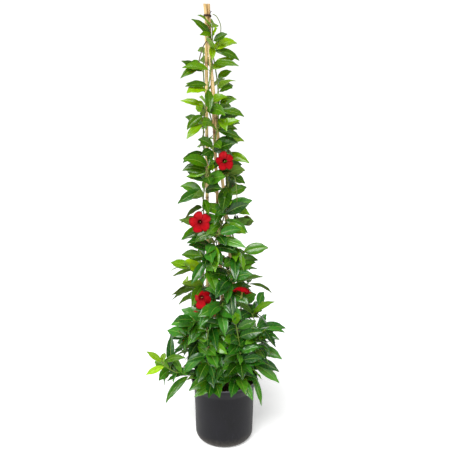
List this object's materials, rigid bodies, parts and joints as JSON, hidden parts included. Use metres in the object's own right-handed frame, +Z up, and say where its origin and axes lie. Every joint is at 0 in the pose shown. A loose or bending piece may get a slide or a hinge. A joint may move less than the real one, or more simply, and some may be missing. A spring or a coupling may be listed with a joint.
{
  "type": "potted mandevilla",
  "caption": "Red-flowered climbing mandevilla trained on a tripod of bamboo canes, growing in soil in a round black nursery pot.",
  "frame": {"origin": "centre of the bottom of the whole plant's bounding box, at the level of the pot's underside", "axes": "+Z up along the canes, -Y toward the viewer and the side where the blooms face, +X to the viewer's right"},
  "size_m": [0.4954, 0.4066, 1.5365],
  "materials": {
    "pot_plastic": "black blow-moulded nursery pot, satin, a little dusty",
    "potting_soil": "loose dark brown peat and bark potting mix",
    "bamboo": "dry tan bamboo with growth rings, low sheen",
    "tie_wire": "dark brown coated garden tie wire",
    "leafy_stem": "leathery glossy green leaves on green to brown twining stems",
    "petal_red": "soft satin deep red petals, darker in the throat"
  },
  "bodies": {
    "root": {"pot": "pot_plastic", "soil": "potting_soil", "cane_left": "bamboo", "cane_right": "bamboo", "cane_back": "bamboo", "cane_tie": "tie_wire", "vine_left": "leafy_stem", "vine_front": "leafy_stem", "vine_right": "leafy_stem", "shoot_low_left": "leafy_stem", "shoot_low_right": "leafy_stem", "shoot_front_left": "leafy_stem", "shoot_front_right": "leafy_stem", "shoot_back_left": "leafy_stem", "shoot_back_right": "leafy_stem", "shoot_back": "leafy_stem", "bloom_upper": "petal_red", "bloom_middle": "petal_red", "bloom_low_left": "petal_red", "bloom_low_right": "petal_red"}
  },
  "joints": []
}
